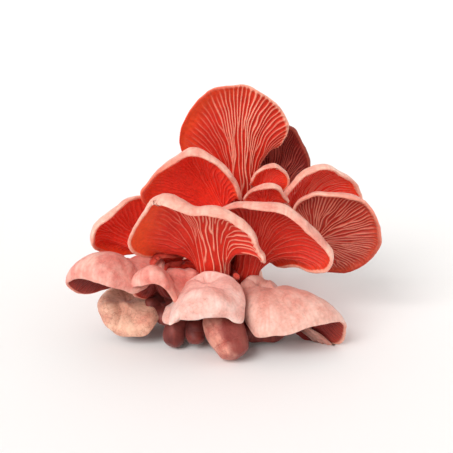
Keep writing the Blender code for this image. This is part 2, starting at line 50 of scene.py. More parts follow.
# How every cap and stem is shaped.
RIM_STEPS = 24  # steps between two points of a rim
HEM_SHARE = 0.75  # how much of the rolled margin adds to the cap's width
HEM_MOST = 0.45  # the widest rolled margin, as a share of the cap
EDGE_POWER = 1.5  # how fast the flesh thins towards the margin
EDGE_START = 0.25  # share of the cap where the margin's own thickness is reached
STEM_PULLS = (0.4, 0.3)  # how far a stem keeps its direction from the hub and from the foot
NUDGE = 1e-3  # a small step, for slopes
LEAST_BEND, LEAST_LENGTH = 1e-6, 1e-9  # keep divisions safe
FOOT_POINT = 0.5  # how far a foot's end is pointed, as a share of its radius
TIP_SHARE = 0.16  # share of a finger's length that its round tip takes
EVEN_MARGIN = 0.75  # how evenly the gills share out the margin: 1 by its length, 0 by the angle
FEWEST_GILLS = 16

# How fine the skins are.
COLUMNS_PER_GILL = 7
UNDER_STEP, TOP_STEP, STEM_STEP = 0.75, 1.3, 1.0  # mm between two rows
LEAST_CAP_ROWS, LEAST_STEM_ROWS = 12, 8
LIP_ROWS = 5
FINGER_COLUMNS, FINGER_ROWS = 150, 110
TIP_CROWDING = 1.35  # how closely a finger's rows crowd at its tip: 1 is even

# The gills. Every fourth one starts on the stem, and the others between them start further out.
GILL_WIDTH = 0.72  # mm, one ridge
GILL_WIDTHS = (0.36, 2.4)  # the narrowest and the widest ridge, as a share of the space between two gills
BELL = 1.67  # width of a bell curve at half its height, over its spread
GILL_DEPTH = 0.85  # mm from valley to crest
STEM_GILL_DEPTH = 0.6  # depth of the gills on the stem, as a share of the usual
LEAST_DEPTH = 0.4  # share of the depth that a gill keeps where its relief is 0
GILLS_GONE = 0.9  # share of the stem where the last gill has sunk in
FORK_RUN = 0.2  # share of the cap over which a forking gill leaves its neighbour
MIDDLE_START, SHORT_START = 0.16, 0.42  # shares of the cap where the shorter gills begin
START_SPREAD = (-0.13, 0.16)  # how much earlier or later one gill begins than another
HEIGHT_SPREAD = (0.82, 1.0)
END_SPREAD = (-0.04, 0.03)  # how much earlier or later one gill ends than another
FORKS = ((-1, 0, 1), (0.35, 0.3, 0.35))  # forks from its left, from none, from its right, and how often
WANDER = ((0.9, 3.2, 0), (0.4, 1.2, 3))  # how far gills wander, over how long, in gill spaces; a seed
WANDER_ROOM = 11  # the cap's width in that noise, in gill spaces
BARE_FADE = 0.18  # share of the cap over which a gill's end sinks into the bare margin
BARE_BLEND = 2.5  # how much longer the bare margin's colour takes to come up than the gill takes to sink
BARE_EARLY = 0.3  # how far that colour has come up where the gills begin to sink
BARE_PATCHES = (0.06, 4)  # how far its inner edge strays, as a share of the cap, and over how many mm

# Unevenness of the flesh: height and size of the lumps, mm.
BENDS = ((0.9, 14.0), (0.35, 5.0))
TOP_LUMPS = ((0.28, 6.0), (0.12, 2.2))
PUFF = 0.7  # mm, how far the top swells just inside the margin
PUFF_START, PUFF_RUN, PUFF_END, PUFF_FADE = 0.6, 0.25, 0.9, 0.1  # shares of the cap
STREAK_SIZE = 0.9  # mm across a streak
STREAK_SQUEEZE = 0.14, 0.15  # a streak's width over its length, on a cap and on a finger
DARK_AND_SHADED_WAY = (1.0, 0.0, 0.25)  # the side of the fingers that is dark: partly their own darker tone, partly painted shade
DARK_SIDE_START, DARK_SIDE_SLOPE, DARK_SIDE_LUMPS = 0.4, 1.6, (0.4, 4)  # how the dark side sets in; lumps and their mm


@dataclass
class Mushroom:
    """Lengths in mm, angles in degrees.

    Four values go round the stem: front, right, back, left. A single one holds all the way round.
    """

    name: str
    foot: tuple  # where the stem leaves the base
    hub: tuple  # where the stem opens into the cap
    rim: tuple  # points that the cap's margin passes through, counter-clockwise about the stem
    rise: tuple = (0, 0, 1)  # the way the stem points at the hub
    toward: tuple = (0, -1, 0)  # the way the cap's front faces
    stem: tuple = (4, 4)  # radius at the foot and at the hub
    neck: tuple = (0.33, 0.33)  # how long the sheet keeps the stem's direction, and the margin's
    crown: float = 0.2  # how much of the cap's middle is filled level
    dome: float = 0  # how far the middle of the top bulges
    spill: tuple | float = (60, 75, 60, 75)  # angle between sheet and stem where the margin starts to roll
    hem: float = 6  # width of the rolled margin
    roll: float = 50  # how far the margin is rolled towards the gills
    edge: float = 1.5  # thickness of the margin
    waves: tuple = (7, 0.5, 0.0)  # number of waves round the margin, their height and their phase
    gill: float = 1.5  # distance between two gills at the margin
    relief: tuple | float = 1  # how strongly the gills stand out
    bare: tuple | float = 0.03  # share of the gill side that has no gills at the margin
    glow: tuple | float = 0  # how much light comes through the margin
    skin: str = "bright"  # its flesh, one of FLESHES


@dataclass
class Finger:
    """A young club without an open cap. Lengths in mm."""

    name: str
    path: tuple  # from the tip to the foot
    radii: tuple  # at each point of the path
    flat: float = 1.0  # its height over its width
    skin: str = "finger"
    dark_tone_and_shade: float = 0.3  # how dark one side is: partly its own tone, partly painted shade


CLUSTER = (
    Mushroom(
        "tall_top_mushroom",
        foot=(-3, 14, 36), hub=(6, 9, 57), rise=(-0.04, -0.05, 1),
        rim=((2, -8, 117), (14, -7, 114), (23, -2, 104), (26, 2, 96), (22, 8, 87), (14, 18, 82),
             (7, 24, 80), (-3, 22, 81), (-18, 8, 81), (-21, 0, 92), (-17, -5, 105), (-9, -8, 114)),
        stem=(6, 5.5), spill=(30, 60, 80, 60), hem=2.5, roll=35,
        gill=2.4, edge=0.9, relief=(1.0, 0.75, 0.7, 0.45), bare=(0.02, -0.05, 0.1, 0.12),
        glow=(0.4, 0, 0, 1), skin="bright",
    ),
    Mushroom(
        "shaded_back_mushroom",
        foot=(7, 24, 32), hub=(20, 22, 52), rise=(0.2, 0.0, 1), toward=(0.3, -1, 0),
        rim=((21, 14, 96), (29, 14, 94), (33, 14, 88), (37, 16, 78), (37, 20, 66), (32, 28, 56),
             (22, 34, 59), (12, 30, 74)),
        stem=(5, 4.5), spill=(25, 60, 80, 65), hem=4, roll=20,
        gill=1.6, relief=0.8, skin="deep",
    ),
    Mushroom(
        "upper_small_mushroom",
        foot=(7, 2, 38), hub=(14, -4, 63), rise=(0.3, -0.1, 1),
        rim=((12, -7, 72), (13, -10, 77), (16, -12, 81), (19, -12, 82), (23, -11, 81), (26, -9, 77),
             (26, -6, 72), (22, 0, 67), (16, 5, 67)),
        stem=(3, 2.5), spill=(60, 75, 70, 70), hem=2.2, roll=45, edge=1, waves=(5, 0.2, 0),
        gill=1.2, relief=0.5, skin="vivid_lit",
    ),
    Mushroom(
        "lower_small_mushroom",
        foot=(9, -2, 36), hub=(16, -8, 60), rise=(0.15, -0.1, 1),
        rim=((8, -13, 65), (9, -16, 69), (12, -18, 72), (16, -19, 74), (21, -18, 73), (24, -15, 69),
             (26, -10, 64), (19, -4, 62)),
        stem=(3, 2.5), spill=(60, 75, 70, 75), hem=2.4, roll=45, edge=1, waves=(5, 0.2, 0),
        gill=1.2, relief=0.5, skin="vivid_lit",
    ),
    Mushroom(
        "right_upper_mushroom",
        foot=(9, 10, 36), hub=(28, 8, 48), rise=(0.4, 0.0, 0.9),
        rim=((26, -4, 60), (29, -8, 69), (34, -10, 76), (41, -10, 80), (48, -8, 79), (55, -4, 75),
             (60, 2, 67), (63, 8, 59), (55, 18, 52), (38, 18, 53)),
        stem=(5, 4), spill=(58, 70, 80, 70), hem=3.2, roll=45,
        gill=1.6, relief=0.7, bare=0.02, skin="vivid_lit",
    ),
    Mushroom(
        "right_big_mushroom",
        foot=(12, 5, 33), hub=(40, -6, 42), rise=(0.3, 0.8, 0.5), toward=(1, -0.3, 0),
        rim=((31, -9, 60), (37, -15, 68), (44, -18, 70), (53, -20, 70), (62, -20, 66), (68, -18, 57),
             (70, -14, 46), (66, -8, 35), (58, -3, 28), (49, 1, 26), (40, 2, 29), (34, 0, 38)),
        stem=(5, 3.5), spill=(88, 88, 95, 95), neck=(0.12, 0.3), hem=3.5, roll=54,
        gill=1.8, relief=0.8, bare=0.0, glow=(0.8, 1, 0, 0), skin="rusty",
    ),
    Mushroom(
        "upper_left_mushroom",
        foot=(-7, 6, 36), hub=(-3, -4, 57), rise=(-0.5, 0.05, 0.85),
        rim=((3, -12, 68), (1, -16, 75), (-3, -19, 83), (-9, -21, 88), (-16, -22, 91), (-22, -22, 90),
             (-28, -22, 86), (-35, -22, 78), (-39, -20, 71), (-35, -12, 63), (-27, -2, 57),
             (-14, 6, 62), (-2, 4, 65)),
        stem=(5, 4.5), spill=(68, 90, 80, 50), hem=3.9, roll=54,
        gill=2.2, relief=(0.45, 0.5, 0.5, 0.25), bare=(0.03, 0.05, 0.05, 0.1),
        glow=(0.1, 0, 0, 1), skin="vivid_lit",
    ),
    Mushroom(
        "left_mushroom",
        foot=(-25, 8, 28), hub=(-38, -4, 39), rise=(-0.85, 0, 0.45),
        rim=((-33, -12, 64), (-41, -16, 67), (-48, -18, 66), (-55, -20, 61), (-61, -20, 55),
             (-64, -18, 48), (-61, -12, 44), (-54, -6, 41), (-45, -1, 38), (-51, 7, 40), (-42, 6, 50)),
        stem=(5, 4.5), spill=(65, 80, 75, 70), hem=4, roll=45,
        gill=2.1, relief=0.5, glow=(0, 0, 0.5, 1), skin="vivid_lit",
    ),
    Mushroom(
        "front_centre_mushroom",
        foot=(-7, -6, 26), hub=(-7, -20, 33), rise=(-0.1, -0.15, 1),
        rim=((14, -42, 50), (12, -44, 55), (9, -45, 62), (5, -46, 67), (-2, -46, 71), (-9, -47, 72),
             (-16, -47, 73), (-22, -47, 75), (-29, -46, 77), (-34, -45, 73), (-39, -42, 65),
             (-42, -38, 57), (-41, -34, 51), (-36, -28, 47), (-31, -20, 44), (-23, -12, 45),
             (-11, -4, 46), (0, -6, 47), (8, -20, 50)),
        stem=(7, 7.5), spill=(60, 115, 80, 85), neck=(0.42, 0.33), hem=4.7, roll=56,
        gill=2.6, relief=(1.0, 0.65, 0.8, 0.35), bare=(-0.05, -0.05, 0.05, 0.25),
        glow=(0, 0, 0.9, 0.2), skin="bright",
    ),
    Mushroom(
        "centre_right_mushroom",
        foot=(3, -2, 26), hub=(8, -11, 28), rise=(0.25, -0.1, 0.95),
        rim=((-3, -27, 65), (5, -33, 70), (14, -37, 72), (22, -39, 71), (29, -40, 68), (36, -40, 63),
             (42, -39, 56), (45, -38, 50), (44, -34, 43), (39, -28, 40), (32, -20, 41), (23, -10, 38),
             (16, -1, 37), (7, 0, 38), (1, -10, 51)),
        stem=(6, 6), spill=(62, 110, 80, 72), neck=(0.4, 0.33), hem=4.6, roll=56,
        gill=2.3, relief=0.6, bare=(0.0, 0.02, 0.1, 0.05), glow=(0, 0, 0.8, 0), skin="soft",
    ),
    Mushroom(
        "tucked_mushroom",
        foot=(-23, 2, 26), hub=(-19, -11, 32), rise=(-0.8, -0.2, 0.3), toward=(0, -1, -0.3),
        rim=((-25, -20, 32), (-29, -24, 34), (-34, -26, 36), (-35, -26, 39), (-33, -24, 41),
             (-28, -19, 39), (-24, -12, 35), (-21, -8, 30)),
        stem=(3.5, 3), spill=70, hem=3, roll=30,
        gill=1.5, relief=0.4, skin="flush",
    ),
    Mushroom(
        "low_left_mushroom",
        foot=(-29, 2, 18), hub=(-42, -25, 32), rise=(-0.3, 0, 0.95), toward=(-0.3, -1, 0),
        rim=((-73, -33, 36), (-67, -40, 41), (-60, -44, 42), (-54, -45, 40), (-49, -43, 37),
             (-42, -39, 32), (-35, -32, 34), (-31, -24, 37), (-34, -16, 38), (-45, -12, 36),
             (-53, -14, 25), (-60, -20, 24), (-67, -24, 25), (-71, -29, 30)),
        stem=(5, 4.5), spill=(140, 125, 100, 115), neck=(0.6, 0.35), crown=0.45, dome=2, hem=3, roll=10,
        gill=1.9, relief=0.35, skin="rosy",
    ),
    Mushroom(
        "round_left_mushroom",
        foot=(-27, -2, 9), hub=(-48, -14, 9), rise=(-0.2, -0.7, 0.7), toward=(0, -1, -0.7),
        rim=((-60, -20, 18), (-58, -27, 16), (-55, -30, 11), (-51, -32, 8), (-45, -34, 8),
             (-39, -34, 9), (-35, -32, 13), (-34, -26, 17), (-39, -17, 18), (-48, -12, 19),
             (-57, -14, 20)),
        stem=(4, 4), spill=(125, 120, 100, 120), neck=(0.5, 0.3), crown=0.7, dome=2.5, hem=2.5, roll=10,
        waves=(9, 0.5, 0), gill=1.9, relief=0.35, skin="weathered",
    ),
    Mushroom(
        "mid_left_mushroom",
        foot=(-19, -12, 20), hub=(-29, -28, 30), rise=(-0.2, -0.3, 0.9), toward=(-0.2, -1, 0),
        rim=((-43, -39, 34), (-39, -44, 39), (-34, -47, 41), (-29, -47, 38), (-26, -44, 32),
             (-23, -41, 26), (-17, -34, 29), (-15, -26, 33), (-24, -18, 30), (-33, -22, 23),
             (-37, -28, 23), (-41, -34, 28)),
        stem=(4, 4), spill=(140, 120, 90, 120), neck=(0.5, 0.4), crown=0.45, hem=2.5, roll=10,
        gill=1.9, relief=0.35, skin="rosy",
    ),
    Mushroom(
        "dark_low_mushroom",
        foot=(-29, -2, 11), hub=(-30, -20, 15), rise=(-0.1, -0.7, 0.7), toward=(0, -1, -0.7),
        rim=((-36, -24, 20), (-35, -28, 14), (-30, -30, 11), (-26, -28, 13), (-24, -24, 18),
             (-30, -18, 20)),
        stem=(3, 3), spill=(120, 115, 100, 115), neck=(0.5, 0.3), crown=0.6, hem=2, roll=10,
        gill=1.9, relief=0.7, skin="shaded_dark",
    ),
    Mushroom(
        "pale_front_mushroom",
        foot=(-16, -6, 22), hub=(-9, -34, 29), rise=(0, -0.5, 0.85),
        rim=((-25, -50, 20), (-21, -52, 24), (-15, -54, 26), (-9, -55, 28), (-2, -54, 26),
             (5, -51, 21), (6, -41, 27), (1, -33, 33), (-9, -31, 36), (-18, -33, 32), (-23, -42, 26)),
        stem=(4, 4.5), spill=(150, 120, 90, 120), neck=(0.5, 0.45), crown=0.6, dome=2.5, hem=2, roll=0,
        waves=(5, 0.2, 0), gill=1.9, relief=0.35, skin="pale",
    ),
    Mushroom(
        "low_right_mushroom",
        foot=(9, 0, 14), hub=(14, -22, 23), rise=(0.1, -0.2, 0.9), toward=(0.3, -1, 0),
        rim=((12, -48, 16), (20, -51, 17), (27, -51, 17), (34, -49, 19), (42, -46, 20), (50, -41, 18),
             (53, -36, 12), (52, -32, 4), (45, -28, -1), (36, -24, -2), (30, -13, 6), (16, -16, 25),
             (7, -24, 28), (7, -38, 21)),
        stem=(5, 5), spill=(145, 95, 90, 130), neck=(0.13, 0.4), crown=0.5, dome=3, hem=2.5, roll=10,
        gill=1.9, relief=0.35, skin="warm",
    ),
    Mushroom(
        "shaded_low_mushroom",
        foot=(1, 2, 8), hub=(14, -20, 8), rise=(0.1, -0.5, 0.8), toward=(0, -1, 0),
        rim=((7, -32, 9), (10, -33, 6), (15, -33, 5), (21, -32, 5), (26, -30, 7), (28, -24, 8),
             (22, -14, 9), (10, -14, 9)),
        stem=(4, 4), spill=(130, 110, 90, 110), neck=(0.4, 0.3), crown=0.5, hem=2, roll=10,
        gill=1.9, relief=0.7, skin="shaded_dark",
    ),
    Mushroom(
        "rear_left_mushroom",
        foot=(-13, 26, 26), hub=(-19, 32, 36), rise=(-0.4, 0.3, 0.9), toward=(-0.4, 1, 0),
        rim=((-5, 34, 58), (-13, 42, 60), (-25, 47, 58), (-36, 46, 52), (-42, 38, 46), (-39, 28, 42),
             (-25, 22, 50), (-11, 25, 56)),
        stem=(5, 4.5), spill=80, hem=5, roll=55,
        gill=1.7, relief=0.8, skin="bright",
    ),
    Mushroom(
        "rear_right_mushroom",
        foot=(15, 28, 26), hub=(23, 34, 36), rise=(0.4, 0.3, 0.9), toward=(0.4, 1, 0),
        rim=((7, 42, 52), (17, 50, 55), (30, 52, 54), (42, 47, 49), (47, 38, 44), (43, 29, 42),
             (29, 26, 50), (13, 30, 54)),
        stem=(5, 4.5), spill=80, hem=5, roll=55,
        gill=1.7, relief=0.8, skin="bright",
    ),
    Mushroom(
        "rear_low_mushroom",
        foot=(1, 36, 14), hub=(1, 44, 18), rise=(0, 0.5, 0.85), toward=(0, 1, 0),
        rim=((15, 52, 14), (7, 58, 12), (-5, 59, 12), (-16, 54, 13), (-21, 46, 16), (-13, 38, 22),
             (3, 36, 24), (17, 42, 18)),
        stem=(4.5, 4.5), spill=(140, 110, 90, 110), neck=(0.5, 0.4), crown=0.5, hem=2.5, roll=10,
        gill=1.9, relief=0.35, skin="pale",
    ),
    Finger("front_finger", path=((3, -50, 2), (1, -46, 8), (-3, -38, 15), (0, -8, 9)),
           radii=(5.5, 8.3, 9, 6.5), dark_tone_and_shade=1.0),
    Finger("dark_finger", path=((-14, -38, 4), (-15, -35, 8), (-14, -29, 14), (-10, -4, 14)),
           radii=(3, 4, 4.5, 4), skin="shaded_dark"),
    Finger("short_finger", path=((-26, -36, 1), (-25, -33, 7), (-22, -27, 13), (-17, -2, 12)),
           radii=(4.2, 5.5, 5, 4.5), skin="shaded_dark"),
    Finger("flat_finger", path=((-30, -40, 16), (-25, -38, 19), (-18, -32, 23), (-14, -6, 20)),
           radii=(3, 5.5, 6, 4.5), flat=0.6, skin="pale", dark_tone_and_shade=0.0),
    Finger("tiny_pin", path=((3, -24, 33), (3, -22, 30), (2, -8, 28)),
           radii=(1.6, 1.6, 1.6), skin="flush"),
)


def ease(x):
    """0 to 1 with level ends."""
    x = np.clip(x, 0.0, 1.0)
    return x * x * (3 - 2 * x)


def around(values, turn):
    """A smooth loop through the values at the front, right, back and left, or one value all round."""
    front, right, back, left = np.broadcast_to(values, 4)
    return (
        (front + right + back + left) / 4
        + (front - back) / 2 * np.cos(turn)
        + (right - left) / 2 * np.sin(turn)
        + (front + back - right - left) / 4 * np.cos(2 * turn)
    )


def unit(vector):
    """The vector at length 1."""
    vector = np.asarray(vector, float)
    return vector / np.linalg.norm(vector)


def lumps(points, size, seed):
    """Smooth noise from -1 to 1 at the points, with lumps of the given size."""
    at = points / size + seed * 17.37
    cell = np.floor(at).astype(np.int64)
    part = at - cell
    part = part * part * (3 - 2 * part)
    total = np.zeros(points.shape[:-1])
    for corner in range(8):
        step = np.array([corner & 1, corner >> 1 & 1, corner >> 2 & 1])
        key = (cell + step) @ np.array([73856093, 19349663, 83492791])
        key = (key ^ (key >> 13)) * 1274126177 & 0x7FFFFFFF
        value = (key ^ key >> 15) % 2001 / 1000 - 1
        total += value * np.prod(np.where(step, part, 1 - part), axis=-1)
    return total


def axes(shroom):
    """The stem's direction at the hub, and the front and right of the cap."""
    rise = unit(shroom.rise)
    front = np.asarray(shroom.toward, float)
    front = unit(front - rise * front.dot(rise))
    return rise, front, np.cross(rise, front)


def margin(shroom, turn):
    """Points on a closed smooth curve through the rim's points, at each angle about the stem's axis."""
    _, front, right = axes(shroom)
    rim = np.asarray(shroom.rim, float)
    share = np.arange(RIM_STEPS)[:, None] / RIM_STEPS
    spans = []
    for k in range(len(rim)):
        before, start, end, after = (rim[(k + step) % len(rim)] for step in (-1, 0, 1, 2))
        spans.append(
            start
            + share / 2 * (end - before)
            + share**2 * (before - 2.5 * start + 2 * end - after / 2)
            + share**3 * (1.5 * (start - end) + (after - before) / 2)
        )
    line = np.concatenate(spans)
    away = line - np.asarray(shroom.hub, float)
    angle = np.arctan2(away @ right, away @ front)
    order = np.argsort(angle)
    angle, line = angle[order], line[order]
    turn = (turn + math.pi) % (2 * math.pi) - math.pi
    read = [np.interp(turn, angle, line[:, axis], period=2 * math.pi) for axis in range(3)]
    return np.stack(read, axis=1)


def fan(shroom):
    """The number of gills at the margin, in fours, and the angle of each column of the skin."""
    turn = np.linspace(0, 2 * math.pi, 721)
    steps = np.linalg.norm(np.diff(margin(shroom, turn), axis=0), axis=1)
    way = np.concatenate([[0], np.cumsum(steps)])
    gills = max(FEWEST_GILLS, 4 * round(way[-1] / shroom.gill / 4))
    shared = EVEN_MARGIN * way / way[-1] + (1 - EVEN_MARGIN) * turn / (2 * math.pi)
    columns = gills * COLUMNS_PER_GILL
    return gills, np.interp(np.arange(columns) / columns, shared, turn)


def folds(shroom, turn):
    """Share of the gill side, at each angle, where the margin starts to roll."""
    _, front, right = axes(shroom)
    out = np.cos(turn)[:, None] * front + np.sin(turn)[:, None] * right
    start = np.asarray(shroom.hub, float) + shroom.stem[1] * out
    length = np.linalg.norm(margin(shroom, turn) - start, axis=1)
    return length / (length + np.minimum(shroom.hem, length * HEM_MOST))


def underside(shroom, shares, turn):
    """Points of the gill side, one row for each share of the way from the hub to the margin's edge."""
    rise, front, right = axes(shroom)
    out = np.cos(turn)[:, None] * front + np.sin(turn)[:, None] * right
    start = np.asarray(shroom.hub, float) + shroom.stem[1] * out
    edge = margin(shroom, turn)
    length = np.linalg.norm(edge - start, axis=1)
    crest = edge - (edge - start) * (HEM_SHARE * np.minimum(shroom.hem / length, HEM_MOST))[:, None]
    length = np.linalg.norm(crest - start, axis=1)
    spill = np.radians(around(shroom.spill, turn))[:, None]
    over = np.cos(spill) * rise + np.sin(spill) * out
    onward = margin(shroom, turn + NUDGE) - margin(shroom, turn - NUDGE)
    down = np.cross(onward, over)
    down /= np.linalg.norm(down, axis=1)[:, None]
    after_hub = start + rise * (length * shroom.neck[0])[:, None]
    before_crest = crest - over * (length * shroom.neck[1])[:, None]
    hem = np.minimum(shroom.hem, length * HEM_MOST)
    fold = length / (length + hem)
    count, height, phase = shroom.waves
    rows = []
    for share in shares:
        part = np.minimum(share / fold, 1)[:, None]
        rest = 1 - part
        row = rest**3 * start + 3 * rest**2 * part * after_hub
        row = row + 3 * rest * part**2 * before_crest + part**3 * crest
        past = np.clip((share - fold) / (1 - fold), 0, 1)[:, None]
        bend = np.maximum(math.radians(shroom.roll) * past, LEAST_BEND)
        row = row + (np.sin(bend) * over + (1 - np.cos(bend)) * down) / bend * past * hem[:, None]
        wave = height * np.sin(count * turn + phase) * share**2
        rows.append(row + wave[:, None] * rise)
    return np.array(rows)


def cap_sheet(shroom, shares, turn):
    """The gill side's points, and normals that point through the flesh to the top side."""
    shares = np.asarray(shares, float)
    sheet = underside(shroom, shares, turn)
    outward = underside(shroom, np.minimum(shares + NUDGE, 1), turn)
    outward = outward - underside(shroom, np.maximum(shares - NUDGE, 0), turn)
    onward = underside(shroom, shares, turn + NUDGE) - underside(shroom, shares, turn - NUDGE)
    normal = np.cross(outward, onward)
    return sheet, normal / np.linalg.norm(normal, axis=-1)[..., None]


def thickness(shroom, shares):
    """Flesh between underside and top: the stem's radius at the hub, thin at the margin."""
    inner = shroom.stem[1] * (1 - shares) ** EDGE_POWER
    return inner + shroom.edge * np.minimum(1, shares / EDGE_START)


def ring(turn, ahead, aside):
    """A circle round the origin, through two directions."""
    return np.cos(turn)[:, None] * ahead + np.sin(turn)[:, None] * aside


def stem_rings(shroom, shares, turn):
    """Rings from the hub down to the foot, on a curve that leaves the hub along the stem's axis."""
    rise, front, _ = axes(shroom)
    hub, foot = np.asarray(shroom.hub, float), np.asarray(shroom.foot, float)
    length = np.linalg.norm(hub - foot)
    below_hub = hub - rise * length * STEM_PULLS[0]
    above_foot = foot + unit(hub - foot) * length * STEM_PULLS[1]
    knots = (hub, below_hub, above_foot, foot)
    rings = []
    for share in shares:
        rest = 1 - share
        weights = (rest**3, 3 * rest**2 * share, 3 * rest * share**2, share**3)
        centre = sum(w * k for w, k in zip(weights, knots))
        slopes = (rest**2, 2 * rest * share, share**2)
        along = -unit(sum(w * (b - a) for w, a, b in zip(slopes, knots, knots[1:])))
        ahead = unit(front - along * front.dot(along))
        radius = shroom.stem[1] + (shroom.stem[0] - shroom.stem[1]) * ease(share)
        rings.append(centre + radius * ring(turn, ahead, np.cross(along, ahead)))
    return np.array(rings), foot - along * shroom.stem[0] * FOOT_POINT


def top_side(shroom, shares, turn):
    """Rows of the smooth side. The hollow over the stem is filled level, as far out as the crown goes."""
    level = np.array([shroom.crown])
    sheet, normal = cap_sheet(shroom, level, turn)
    brow = (sheet + normal * thickness(shroom, level)[:, None, None])[0]
    middle, bulge = brow.mean(axis=0), unit(shroom.rise) * shroom.dome
    sheet, normal = cap_sheet(shroom, shares, turn)
    top = sheet + normal * thickness(shroom, shares)[:, None, None]
    part = np.minimum(shares / shroom.crown, 1)[:, None, None]
    disc = middle + (brow - middle) * part + (1 - part**2) * bulge
    return np.where(part < 1, disc + (top - disc) * ease(part), top), middle + bulge


def gill_ridges(shroom, gills, shares, turn, pitch, seed, sunk=0.0):
    """Height of the gills, 0 to 1. Every fourth starts on the stem, the rest further out, some by forking."""
    rng = np.random.default_rng(seed)
    columns = len(turn)
    place = np.arange(columns) / COLUMNS_PER_GILL
    circle = place / gills * 2 * math.pi
    steps = np.asarray(shares, float)[:, None]
    spot = np.stack(np.broadcast_arrays(
        np.cos(circle) * gills / (2 * math.pi), np.sin(circle) * gills / (2 * math.pi), steps * WANDER_ROOM
    ), axis=-1)
    wander = sum(far * lumps(spot, size, seed + more) for far, size, more in WANDER)
    place = place + wander * (1 - 0.5 * steps)
    nearest = np.floor(place + 0.5).astype(int)
    rank = np.arange(gills) % 4
    start = np.choose(rank, (-1.0, SHORT_START, MIDDLE_START, SHORT_START))
    start = start + rng.uniform(*START_SPREAD, gills)
    side = rng.choice(FORKS[0], gills, p=FORKS[1]) * np.choose(rank, (0, 1, 2, 1))
    height = rng.uniform(*HEIGHT_SPREAD, gills)
    early = rng.uniform(*END_SPREAD, gills)
    broad = 0.85 + 0.4 * rng.random(gills)
    width = np.clip(GILL_WIDTH / pitch, *GILL_WIDTHS) / BELL * broad[nearest % gills]
    ends = (folds(shroom, turn) - around(shroom.bare, turn))[None]
    found = np.zeros((len(steps), columns))
    for step in range(-4, 5):
        k = (nearest + step) % gills
        begun = (steps - start[k]) / FORK_RUN
        centre = nearest + step + side[k] * (1 - ease(begun))
        strength = height[k] * ease(begun * 2) * (1 - ease((steps - ends - early[k]) / BARE_FADE))
        found = np.maximum(found, strength * np.exp(-(((place - centre) / width) ** 2)))
    return found * (1 - sunk)


def normals_of(rows):
    """Outward directions on rows of points that run down a closed skin."""
    onward = np.roll(rows, -1, axis=1) - np.roll(rows, 1, axis=1)
    out = np.cross(np.gradient(rows, axis=0), onward)
    return out / np.maximum(np.linalg.norm(out, axis=-1), LEAST_LENGTH)[..., None]


def bent(points, seed):
    """The points moved by slow noise, so that nothing in the flesh is quite regular."""
    for layer, (height, size) in enumerate(BENDS):
        move = [lumps(points, size, seed + 5 * layer + axis) for axis in range(3)]
        points = points + height * np.stack(move, axis=-1)
    return points


def lip_rows(top, under, inside):
    """Rows of a round edge from the top's last row to the underside's outer row."""
    outward = top - inside
    outward /= np.linalg.norm(outward, axis=1)[:, None]
    middle, half = (top + under) / 2, (top - under) / 2
    reach = np.linalg.norm(half, axis=1)[:, None]
    bends = np.arange(1, LIP_ROWS + 1) / (LIP_ROWS + 1) * math.pi
    return np.array([middle + half * math.cos(b) + outward * reach * math.sin(b) for b in bends])


def streaks(circle, across, along, seed):
    """Noise from 0 to 1 in streaks that run from the middle of a piece to its margin."""
    spot = np.stack(np.broadcast_arrays(
        np.cos(circle) * across, np.sin(circle) * across, along[:, None]
    ), axis=-1)
    return 0.5 + 0.5 * lumps(spot, STREAK_SIZE, seed + 70)


